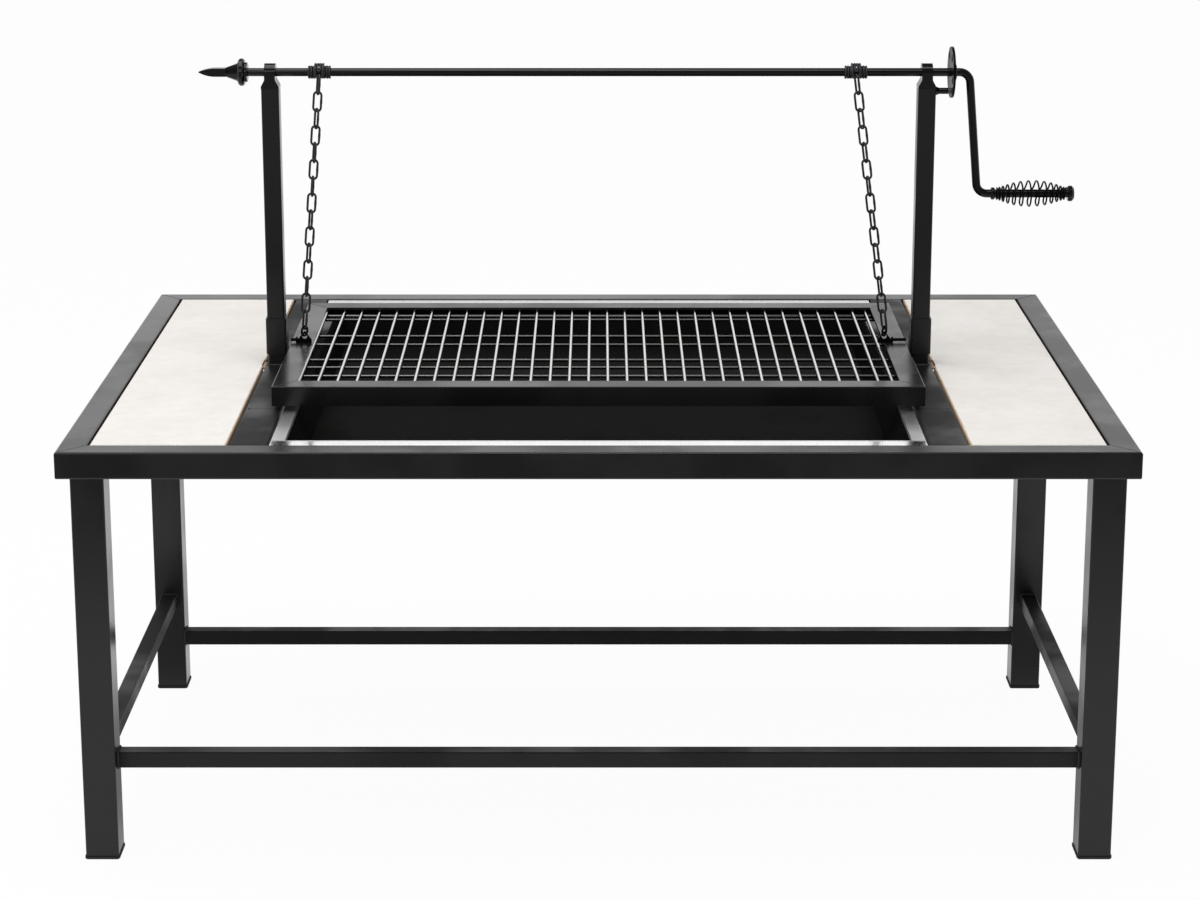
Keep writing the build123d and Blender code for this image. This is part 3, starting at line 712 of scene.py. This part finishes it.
def painted_flank_shade(material, node, painted_shade):
    """Darken the flanks of round bars and rods with painted shade, so that only their crowns stay bright.

    The painted shade stands for the dark pan that they mirror, and goes by height in the bar: none just below the
    crown, all of it further down.
    """
    tree, shader, place = made_before(material)
    unshaded_colour = shader.inputs["Base Color"].links[0].from_socket
    low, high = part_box(node)
    radius = (high.z - low.z) / 2
    # painted shade: full on the flanks, none at the crown
    crown = ramp(tree, place["Z"], high.z - FLANK_SHADE_FULL * radius, high.z - FLANK_SHADE_NONE * radius)
    tree.links.new(mix_colour(tree, crown, tuple(painted_shade), unshaded_colour), shader.inputs["Base Color"])
    return material


def painted_rim_shade(material, painted_shade):
    """Darken the side strips of the pan's rim with painted shade, behind an unshaded front end, and scuff them
    dull.
    """
    tree, shader, place = made_before(material)
    unshaded_colour = shader.inputs["Base Color"].links[0].from_socket
    low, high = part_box("pan_rim")
    front = ramp(tree, place["Y"], *(low.y + step for step in RIM_SHADE_FRONT))
    back = ramp(tree, place["Y"], *(high.y - step for step in RIM_SHADE_BACK), 1.0, 0.0)
    # painted shade over the side strips' reflections, none at the front end and the back edge
    rim_shade = math_node(tree, "MULTIPLY", front, back)
    tree.links.new(mix_colour(tree, rim_shade, unshaded_colour, tuple(painted_shade)), shader.inputs["Base Color"])
    gloss = shader.inputs["Roughness"].links[0].from_socket
    worn = ramp(tree, place["Y"], *(low.y + step for step in SCUFF_FRONT), 0.0, SCUFF_DULL)
    tree.links.new(math_node(tree, "ADD", gloss, worn), shader.inputs["Roughness"])
    return material


def tile_stone(colour, edge):
    """Honed pale stone: soft beige clouds, fine specks, and a raw brown-beige arris on the inner side."""
    material, tree, shader, place = blank_material("tile_stone")
    low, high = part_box("right_side_tile")
    split = axes(tree, place)
    near = math_node(tree, "SUBTRACT", low.x, math_node(tree, "ABSOLUTE", split["X"]))
    fray = noise(tree, place, 60.0, 4.0, 0.6)
    reach = math_node(tree, "MULTIPLY_ADD", fray, ARRIS_FRAY)
    reach.node.inputs[2].default_value = -ARRIS_FRAY / 2
    rim = ramp(tree, math_node(tree, "ADD", near, reach), *(-step for step in ARRIS_WIDTH))
    under = ramp(tree, split["Z"], *(high.z - step for step in ARRIS_DEPTH), 1.0, 0.0)
    rim = math_node(tree, "MAXIMUM", rim, under)
    cloud = ramp(tree, noise(tree, place, 9.0, 6.0, 0.62), 0.32, 0.68)
    mottle = ramp(tree, noise(tree, place, 42.0, 6.0, 0.66), 0.42, 0.66)
    speck = ramp(tree, noise(tree, place, 420.0, 2.0, 0.5), 0.66, 0.78)
    warm = tuple(c * k for c, k in zip(colour, (0.95, 0.932, 0.912)))
    grey = tuple(c * 0.8 for c in colour)
    face = mix_colour(tree, cloud, tuple(colour), warm)
    face = mix_colour(tree, math_node(tree, "MULTIPLY", mottle, 0.22), face, grey)
    face = mix_colour(tree, math_node(tree, "MULTIPLY", speck, 0.5), face, grey)
    tree.links.new(mix_colour(tree, rim, face, tuple(edge)), shader.inputs["Base Color"])
    tree.links.new(ramp(tree, cloud, 0.0, 1.0, 0.42, 0.55), shader.inputs["Roughness"])
    shader.inputs["Specular IOR Level"].default_value = 0.35
    bump(tree, shader, noise(tree, place, 260.0, 4.0, 0.6), 0.06, 0.0008)
    return material


def pan_enamel(colour):
    """Black enamel with a faint brown heat bloom in clouds."""
    material, tree, shader, place = blank_material("pan_enamel")
    bloom = ramp(tree, noise(tree, place, 7.0, 5.0, 0.65), 0.45, 0.75)
    brown = (colour[0] * 2.0, colour[1] * 1.8, colour[2] * 1.6)
    tree.links.new(mix_colour(tree, bloom, tuple(colour), brown), shader.inputs["Base Color"])
    tree.links.new(ramp(tree, bloom, 0.0, 1.0, 0.38, 0.5), shader.inputs["Roughness"])
    shader.inputs["Specular IOR Level"].default_value = 0.006
    bump(tree, shader, noise(tree, place, 240.0, 3.0, 0.5), 0.05, 0.0006)
    return material


def cap_plastic(colour):
    """Moulded plastic with a fine spark-eroded grain."""
    material, tree, shader, place = blank_material("cap_plastic")
    grain = noise(tree, place, 900.0, 2.0, 0.5)
    scuff = ramp(tree, noise(tree, place, 40.0, 4.0, 0.6), 0.5, 0.8)
    light = tuple(c * 2.2 for c in colour)
    tree.links.new(mix_colour(tree, scuff, tuple(colour), light), shader.inputs["Base Color"])
    tree.links.new(ramp(tree, grain, 0.3, 0.7, 0.5, 0.66), shader.inputs["Roughness"])
    shader.inputs["Specular IOR Level"].default_value = 0.3
    bump(tree, shader, grain, 0.12, 0.0005)
    return material


class GRILL_OT_finishes(bpy.types.Operator):
    """Make every finish and put it on the CAD pieces"""

    bl_idname = "grill.finishes"
    bl_label = "Finishes"

    def execute(self, context):
        colour = sizes().colour
        coat = coat_grain_group()
        steel = drawn_steel_group()
        # Colour, grain, relief, gloss, specular level and lift of the lighter cloud
        coats = {
            "powder_black": (colour.coat, 900.0, 0.08, 0.24, 0.38, 1.4),
            "worn_black": (colour.coat, 700.0, 0.08, 0.46, 0.26, 1.4),
            "forged_black": (colour.forged, 200.0, 0.03, 0.17, 0.30, 1.35),
            "burnt_black": (colour.forged, 420.0, 0.06, 0.3, 0.07, 1.35),
            "chain_black": (colour.chain, 300.0, 0.03, 0.22, 0.02, 1.5),
        }
        made = {name: coated(name, coat, *look) for name, look in coats.items()}
        rim = stainless("stainless_rim", steel, colour.bright, (420.0, 420.0, 420.0), 0.05, 0.012)
        # The rim's side strips get painted shade
        made["stainless"] = painted_rim_shade(rim, colour.painted_shade)
        made["pan_black"] = pan_enamel(colour.enamel)
        made["tile_cream"] = tile_stone(colour.tile, colour.tile_edge)
        made["plastic_black"] = cap_plastic(colour.plastic)
        for name in ("cross_member", "stretcher"):
            made.update({node: made["worn_black"] for node in NODES if name in node})
        made["index_disc"] = made["burnt_black"]
        along = {"grate_bars": (900.0, 14.0, 900.0), "grate_cross_rods": (14.0, 900.0, 900.0)}
        along["grate_end_rods"] = along["grate_cross_rods"]
        for name, stretch in along.items():
            # Painted shade: cross rods and end rods get a darker copy of the bars' steel
            shade = 1.0 if name == "grate_bars" else 0.68
            shaded_steel = tuple(c * shade for c in colour.steel)
            # Painted shade on the flanks of bars and rods
            made[name] = painted_flank_shade(stainless(name, steel, shaded_steel, stretch, 0.1, 0.05), name, colour.painted_shade)
        for name, node in NODES.items():
            node.data.materials.clear()
            node.data.materials.append(made.get(name, made[SLOT_OF[name]]))
        return {"FINISHED"}


class GRILL_OT_hanging_chains(bpy.types.Operator):
    """Make the links of both hanging chains"""

    bl_idname = "grill.hanging_chains"
    bl_label = "Hanging chains"

    def execute(self, context):
        chain = sizes().chain
        black = bpy.data.materials["chain_black"]
        for name in ("left", "right"):
            top, bottom = chain_ends(name)
            links = chain_links(top, bottom, chain.links, slice(0, chain.upper))
            upper = mesh_object(f"{name}_upper_links", [links], True, black)
            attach(upper, "table")
            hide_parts(f"{name}_chain_upper")
            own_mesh(upper)
            links = chain_links(top, bottom, chain.links, slice(chain.upper, None))
            lower = mesh_object(f"{name}_lower_links", [links], True, black)
            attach(lower, "grill")
            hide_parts(f"{name}_chain_lower")
        return {"FINISHED"}


class GRILL_OT_chain_windings(bpy.types.Operator):
    """Make the chain wound on the axle"""

    bl_idname = "grill.chain_windings"
    bl_label = "Chain windings"

    def execute(self, context):
        chain = sizes().chain
        black = bpy.data.materials["chain_black"]
        inner = chain.bar + chain.gap + chain.wire / 2
        outer = inner + chain.wire + chain.gap
        offset = (chain.width + chain.wire) / 2 + chain.gap
        half = (chain.width - chain.wire) / 2
        nested = chain.wire / 2 + chain.gap
        left = chain.wrap_start
        right = chain.wrap_start + chain.wrap_stagger
        layers = [
            (-offset, inner, left, chain.wrap_inner, half, 1.0),
            (-offset, inner, left + chain.wrap_stagger, chain.wrap_inner, nested, 1.0),
            (offset, inner, right, chain.wrap_inner, half, 1.0),
            (offset, inner, right - chain.wrap_stagger, chain.wrap_inner, nested, 1.0),
            (0.0, outer, 0.0, chain.wrap_outer, half, 0.0),
            (0.0, outer, chain.nest_start, chain.wrap_outer - chain.nest_start, nested, 1.0),
        ]
        for name in ("left", "right"):
            top, _ = chain_ends(name)
            piece = mesh_object(f"{name}_wound_links", [bent_links(top[0], layers)], True, black)
            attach(piece, "windings")
            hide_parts(f"{name}_chain_winding")
        return {"FINISHED"}


class GRILL_OT_spring_grip(bpy.types.Operator):
    """Make the spring on the crank's handle"""

    bl_idname = "grill.spring_grip"
    bl_label = "Spring grip"

    def execute(self, context):
        _, bead_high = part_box("grip_bead")
        cap_low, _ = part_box("grip_end_cap")
        middle, _ = box_middle("grip_bead")
        coil = spring_coil(bead_high.x, cap_low.x, middle.y, middle.z)
        piece = mesh_object("grip_coil", [coil], False, bpy.data.materials["burnt_black"])
        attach(piece, "grip")
        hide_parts("spring_grip")
        return {"FINISHED"}


class GRILL_OT_weld_beads(bpy.types.Operator):
    """Make the weld beads of table and grill"""

    bl_idname = "grill.weld_beads"
    bl_label = "Weld beads"

    def execute(self, context):
        weld = sizes().weld
        loops = []
        east, north, up = (1, 0, 0), (0, 1, 0), (0, 0, 1)
        for name in ("front_stretcher", "rear_stretcher"):
            middle, half = box_middle(name)
            for x in (middle.x - half.x, middle.x + half.x):
                loops.append(loop_bead((x, middle.y, middle.z), north, up, half.y, half.z, weld.bead))
        for name in ("left_stretcher", "right_stretcher"):
            middle, half = box_middle(name)
            for y in (middle.y - half.y, middle.y + half.y):
                loops.append(loop_bead((middle.x, y, middle.z), east, up, half.x, half.z, weld.bead))
        for side in ("left", "right"):
            middle, half = box_middle(f"{side}_post_stub")
            socket_low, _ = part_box(f"{side}_post_socket")
            for z in (middle.z - half.z, socket_low.z):
                loops.append(loop_bead((middle.x, middle.y, z), east, north, half.x, half.y, weld.bead))
        beads = mesh_object("frame_welds", loops, True, bpy.data.materials["powder_black"])
        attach(beads, "table")
        self.mitre_seams("top_rail_seams", "table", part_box("front_top_rail"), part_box("back_top_rail"))
        self.mitre_seams("grill_rail_seams", "grill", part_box("grill_front_rail"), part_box("grill_back_rail"))
        return {"FINISHED"}

    def mitre_seams(self, name, body, front, back):
        """Ground seams along the four mitres, across the top face."""
        weld = sizes().weld
        low = np.array(front[0])
        high = np.array(back[1])
        width = float(front[1].y - front[0].y)
        z = float(high[2]) - weld.seam * SEAM_SUNK
        lines = []
        for sx, x in ((1, low[0]), (-1, high[0])):
            for sy, y in ((1, low[1]), (-1, high[1])):
                start = (x + sx * weld.inset, y + sy * weld.inset, z)
                end = (x + sx * width, y + sy * width, z)
                lines.append(line_bead(start, end, (0, 0, 1), weld.seam))
        piece = mesh_object(name, lines, False, bpy.data.materials["powder_black"])
        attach(piece, body)


class GRILL_OT_notch_rebates(bpy.types.Operator):
    """Make the raw, broken edge that is left standing in the tiles' notches beside the posts"""

    bl_idname = "grill.notch_rebates"
    bl_label = "Notch rebates"

    def execute(self, context):
        fill = sizes().weld.rebate
        beside, below = 1.1 * fill, 1.8 * fill
        edges = []
        for side in ("left", "right"):
            post_low, post_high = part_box(f"{side}_post")
            _, tile_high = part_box(f"{side}_side_tile")
            member_low, member_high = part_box(f"{side}_cross_member")
            x = member_low.x - beside if side == "left" else member_high.x + beside
            z = tile_high.z - below
            edges.append(line_bead((x, post_low.y - fill, z), (x, post_high.y + fill, z), (0, 0, 1), fill))
        piece = mesh_object("notch_rebates", edges, False, bpy.data.materials["tile_stone"])
        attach(piece, "table")
        return {"FINISHED"}


def floor_paint(stage):
    """Matt floor that the camera sees as an almost even white.

    Mirrors see it glow with painted light: white round the object too, dimmer under it as a painted shadow,
    dim in front, where a studio's light falls off, and brighter again far in front.
    """
    material = bpy.data.materials.new("floor_paint")
    material.use_nodes = True
    tree = material.node_tree
    tree.nodes.clear()
    matt = tree.nodes.new("ShaderNodeBsdfDiffuse")
    matt.inputs["Color"].default_value = (0.9, 0.9, 0.9, 1.0)
    depth = axes(tree, coordinates(tree, "Object"))["Y"]
    # painted pool of light in front and painted glow far in front, seen by mirrors
    pool = ramp(tree, depth, *stage.pool, stage.dim, 1.0)
    pool = math_node(tree, "MAXIMUM", pool, ramp(tree, depth, *stage.far, stage.glow, 0.0))
    # painted shadow under the table, seen by mirrors
    under = ramp(tree, math_node(tree, "ABSOLUTE", depth), *stage.shade, stage.under, 1.0)
    pool = math_node(tree, "MULTIPLY", pool, under)
    path = tree.nodes.new("ShaderNodeLightPath")
    glow = tree.nodes.new("ShaderNodeEmission")
    tree.links.new(math_node(tree, "MAXIMUM", path.outputs["Is Camera Ray"], pool), glow.inputs["Strength"])
    seen = math_node(tree, "MAXIMUM", path.outputs["Is Camera Ray"], path.outputs["Is Glossy Ray"])
    seen = math_node(tree, "MAXIMUM", seen, path.outputs["Is Transmission Ray"])
    mix = tree.nodes.new("ShaderNodeMixShader")
    tree.links.new(math_node(tree, "MULTIPLY", seen, stage.shown), mix.inputs["Fac"])
    tree.links.new(matt.outputs["BSDF"], mix.inputs[1])
    tree.links.new(glow.outputs["Emission"], mix.inputs[2])
    output = tree.nodes.new("ShaderNodeOutputMaterial")
    tree.links.new(mix.outputs["Shader"], output.inputs["Surface"])
    return material


def studio_world(stage):
    """White surroundings for the camera, even light for matt faces, and for mirrors a white back wall.

    The wall ends at a height of about 30 degrees; the room above it and in front is dim.
    """
    world = bpy.data.worlds.new("studio")
    bpy.context.scene.world = world
    world.use_nodes = True
    tree = world.node_tree
    tree.nodes.clear()
    look = axes(tree, coordinates(tree, "Generated"))
    room = ramp(tree, look["Y"], *stage.room)
    room = math_node(tree, "MULTIPLY", room, ramp(tree, look["Z"], *stage.wall, 1.0, 0.0))
    room = ramp(tree, room, 0.0, 1.0, stage.dim, 1.0)
    path = tree.nodes.new("ShaderNodeLightPath")
    mirror = math_node(tree, "MAXIMUM", path.outputs["Is Glossy Ray"], path.outputs["Is Transmission Ray"])
    seen = path.outputs["Is Camera Ray"]
    strength = math_node(tree, "MAXIMUM", math_node(tree, "MULTIPLY", mirror, room), seen)
    rest = math_node(tree, "SUBTRACT", 1.0, math_node(tree, "MAXIMUM", mirror, seen))
    strength = math_node(tree, "ADD", strength, math_node(tree, "MULTIPLY", rest, stage.sky))
    back = tree.nodes.new("ShaderNodeBackground")
    back.inputs["Color"].default_value = (1.0, 1.0, 1.0, 1.0)
    tree.links.new(strength, back.inputs["Strength"])
    output = tree.nodes.new("ShaderNodeOutputWorld")
    tree.links.new(back.outputs["Background"], output.inputs["Surface"])


def soft_box(name, place, aim, width, height, power):
    """Rectangular area lamp at a place, turned to an aim point."""
    lamp = bpy.data.lights.new(name, "AREA")
    lamp.shape = "RECTANGLE"
    lamp.size = width
    lamp.size_y = height
    lamp.energy = power
    lamp_object = bpy.data.objects.new(name, lamp)
    bpy.context.scene.collection.objects.link(lamp_object)
    lamp_object.location = place
    lamp_object.rotation_euler = (Vector(aim) - Vector(place)).to_track_quat("-Z", "Y").to_euler()


class GRILL_OT_stage(bpy.types.Operator):
    """Make the floor, the light and the camera"""

    bl_idname = "grill.stage"
    bl_label = "Stage"

    def execute(self, context):
        stage = sizes().stage
        scene = context.scene
        scene.view_settings.view_transform = "Standard"
        mesh = bpy.data.meshes.new("floor")
        half = stage.floor
        corners = [(-half, -half, 0), (half, -half, 0), (half, half, 0), (-half, half, 0)]
        mesh.from_pydata(corners, [], [(0, 1, 2, 3)])
        mesh.materials.append(floor_paint(stage))
        floor = bpy.data.objects.new("floor", mesh)
        scene.collection.objects.link(floor)
        studio_world(stage)
        soft_box("overhead", (-0.5, -0.5, 3.6), (0.0, 0.0, 0.7), width=3.4, height=1.8, power=stage.key)
        soft_box("front", (-1.9, -3.6, 2.6), (0.0, 0.0, 0.6), width=2.2, height=1.6, power=stage.fill)
        camera = bpy.data.cameras.new("photo")
        camera.lens = stage.lens
        camera.sensor_width = 36.0
        camera.shift_y = stage.shift
        camera.clip_end = 200.0
        holder = bpy.data.objects.new("photo", camera)
        scene.collection.objects.link(holder)
        holder.location = stage.place
        holder.rotation_euler = (math.pi / 2 - stage.pitch, 0.0, 0.0)
        scene.camera = holder
        return {"FINISHED"}


PIECES = (
    GRILL_OT_finishes,
    GRILL_OT_hanging_chains,
    GRILL_OT_chain_windings,
    GRILL_OT_spring_grip,
    GRILL_OT_weld_beads,
    GRILL_OT_notch_rebates,
    GRILL_OT_stage,
)


class GRILL_PT_panel(bpy.types.Panel):
    """Sidebar panel that lists the pieces"""

    bl_idname = "GRILL_PT_panel"
    bl_label = "Crank grill"
    bl_space_type = "VIEW_3D"
    bl_region_type = "UI"
    bl_category = "Grill"

    def draw(self, context):
        for piece in PIECES:
            self.layout.operator(piece.bl_idname)


SETTINGS = (ChainSizes, GripSizes, WeldSizes, FinishColours, StageSettings, GrillSettings)
CLASSES = (*SETTINGS, *PIECES, GRILL_PT_panel)


def register():
    for item in CLASSES:
        bpy.utils.register_class(item)
    bpy.types.Scene.grill = PointerProperty(type=GrillSettings)


def unregister():
    del bpy.types.Scene.grill
    for item in reversed(CLASSES):
        bpy.utils.unregister_class(item)


def main():
    register()
    bpy.ops.grill.finishes()
    bpy.ops.grill.hanging_chains()
    bpy.ops.grill.chain_windings()
    bpy.ops.grill.spring_grip()
    bpy.ops.grill.weld_beads()
    bpy.ops.grill.notch_rebates()
    bpy.ops.grill.stage()
    bpy.context.view_layer.update()


if __name__ == "__main__":
    main()
